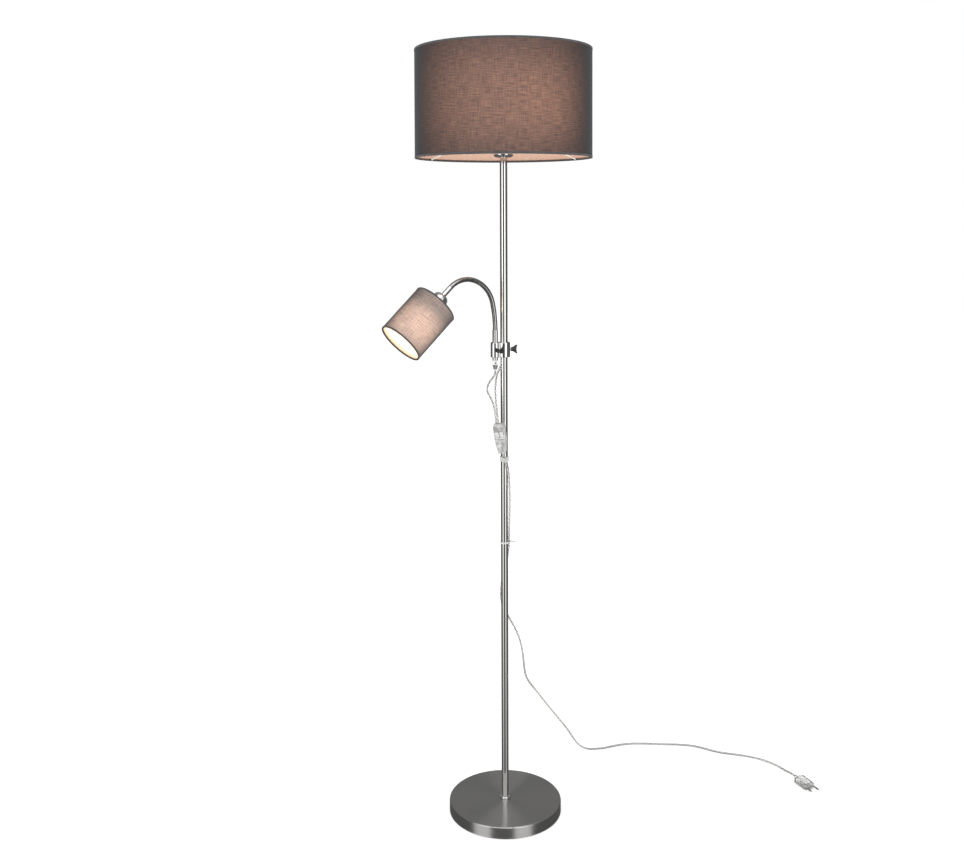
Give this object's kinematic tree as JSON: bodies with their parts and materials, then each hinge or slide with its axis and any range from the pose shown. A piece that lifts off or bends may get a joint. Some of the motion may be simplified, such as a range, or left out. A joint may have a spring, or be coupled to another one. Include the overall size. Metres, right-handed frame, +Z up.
{
  "type": "floor lamp with reading light",
  "caption": "Floor lamp with a round weighted base, sectional steel pole, fabric drum shade and a clamped gooseneck reading light, with an in-line rocker switch on its cord.",
  "frame": {"origin": "on the floor at the centre of the underside, under the axis of the pole", "axes": "+Z up along the pole; the lamp is seen from -Y, with the reading light towards -X and the cord running off towards +X"},
  "size_m": [0.9256, 0.4746, 1.6],
  "materials": {
    "rubber_pad": "matt",
    "concrete": "rough",
    "satin_steel": "satin, brushed",
    "polished_chrome": "polished",
    "zinc_steel": "zinc plated",
    "white_plastic": "satin",
    "black_plastic": "satin",
    "clear_plastic": "clear, glossy",
    "grey_plastic": "satin, slightly translucent",
    "white_wire": "satin",
    "liner": "matt, translucent",
    "slate_fabric": "woven linen",
    "slate_tape": "woven tape",
    "opal_glass": "opal",
    "cap_metal": "bright",
    "brass": "bright"
  },
  "bodies": {
    "stand": {"base_pad": "rubber_pad", "base_weight": "concrete", "base_cover": "satin_steel", "base_washer": "zinc_steel", "base_nut": "zinc_steel", "foot_stud": "zinc_steel", "base_collar": "polished_chrome", "pole_lower": "satin_steel", "pole_middle": "satin_steel", "pole_upper": "satin_steel", "pole_inserts": "zinc_steel", "pole_studs": "zinc_steel", "pole_grommet": "clear_plastic", "pole_core": "clear_plastic", "cup_stud": "zinc_steel", "holder_cup": "polished_chrome", "lamp_holder": "white_plastic", "shade_ring": "white_plastic", "shade_frame": "white_wire", "shade_top_wire": "white_wire", "shade_liner": "liner", "shade_fabric": "slate_fabric", "shade_trims": "slate_tape", "bulb": "opal_glass", "bulb_cap": "cap_metal", "switch_front": "grey_plastic", "switch_back": "grey_plastic", "switch_screws": "zinc_steel", "switch_terminals": "brass", "arm_lead": "clear_plastic", "pole_lead": "clear_plastic", "supply_cord": "clear_plastic", "cord_clip": "clear_plastic", "cable_tie": "clear_plastic", "plug_body": "clear_plastic", "plug_pins": "polished_chrome"},
    "clamp": {"clamp_body": "polished_chrome"},
    "pole_screw": {"pole_screw": "zinc_steel"},
    "pole_wing": {"pole_screw_wing": "black_plastic"},
    "arm": {"arm_tube": "satin_steel", "cord_grip": "clear_plastic", "grip_screw": "zinc_steel", "gooseneck_hose": "satin_steel", "gooseneck_core": "clear_plastic"},
    "arm_screw": {"arm_screw": "zinc_steel"},
    "arm_wing": {"arm_screw_wing": "black_plastic"},
    "head": {"head_ferrule": "polished_chrome", "head_cup": "polished_chrome", "head_holder": "white_plastic", "head_ring": "white_plastic", "head_frame": "white_wire", "head_rim_wire": "white_wire", "head_liner": "liner", "head_fabric": "slate_fabric", "head_trims": "slate_tape", "head_bulb": "opal_glass", "head_bulb_cap": "cap_metal"},
    "rocker_left": {"rocker_left": "grey_plastic"},
    "rocker_right": {"rocker_right": "grey_plastic"}
  },
  "joints": [
    {"name": "clamp_slide", "type": "slide", "parent": "stand", "child": "clamp", "axis": [0, 0, 1], "range_m": [-0.003, 0.015], "deforming": ["arm_lead"]},
    {"name": "pole_screw_advance", "type": "slide", "parent": "clamp", "child": "pole_screw", "axis": [0.9511, 0.309, 0], "range_m": [0, 0.0016]},
    {"name": "pole_wing_turn", "type": "hinge", "parent": "pole_screw", "child": "pole_wing", "pos_m": [0, 0, 0.977], "axis": [0.9511, 0.309, 0], "range_deg": [0, 720]},
    {"name": "arm_swivel", "type": "hinge", "parent": "clamp", "child": "arm", "pos_m": [-0.01826, -0.00593, 0.977], "axis": [0, 0, 1], "range_deg": [-110, 110]},
    {"name": "arm_screw_advance", "type": "slide", "parent": "clamp", "child": "arm_screw", "axis": [0.309, -0.9511, 0], "range_m": [0, 0.0016]},
    {"name": "arm_wing_turn", "type": "hinge", "parent": "arm_screw", "child": "arm_wing", "pos_m": [-0.01826, -0.00593, 0.977], "axis": [0.309, -0.9511, 0], "range_deg": [0, 720]},
    {"name": "gooseneck_bend", "type": "hinge", "parent": "arm", "child": "head", "pos_m": [-0.04821, -0.02591, 1.091], "axis": [-0.5548, 0.832, 0], "range_deg": [-30, 40], "deforming": ["gooseneck_hose", "gooseneck_core"]},
    {"name": "rocker_left_tip", "type": "hinge", "parent": "stand", "child": "rocker_left", "pos_m": [-0.01408, -0.02177, 0.80023], "axis": [0.9709, -0.2079, 0.1192], "range_deg": [-18, 0]},
    {"name": "rocker_right_tip", "type": "hinge", "parent": "stand", "child": "rocker_right", "pos_m": [-0.00457, -0.0238, 0.8014], "axis": [0.9709, -0.2079, 0.1192], "range_deg": [-18, 0]}
  ],
  "couplings": [
    {"joint": "pole_wing_turn", "follows": "pole_screw_advance", "rad_per_m": 7853.9},
    {"joint": "arm_wing_turn", "follows": "arm_screw_advance", "rad_per_m": 7853.9}
  ]
}
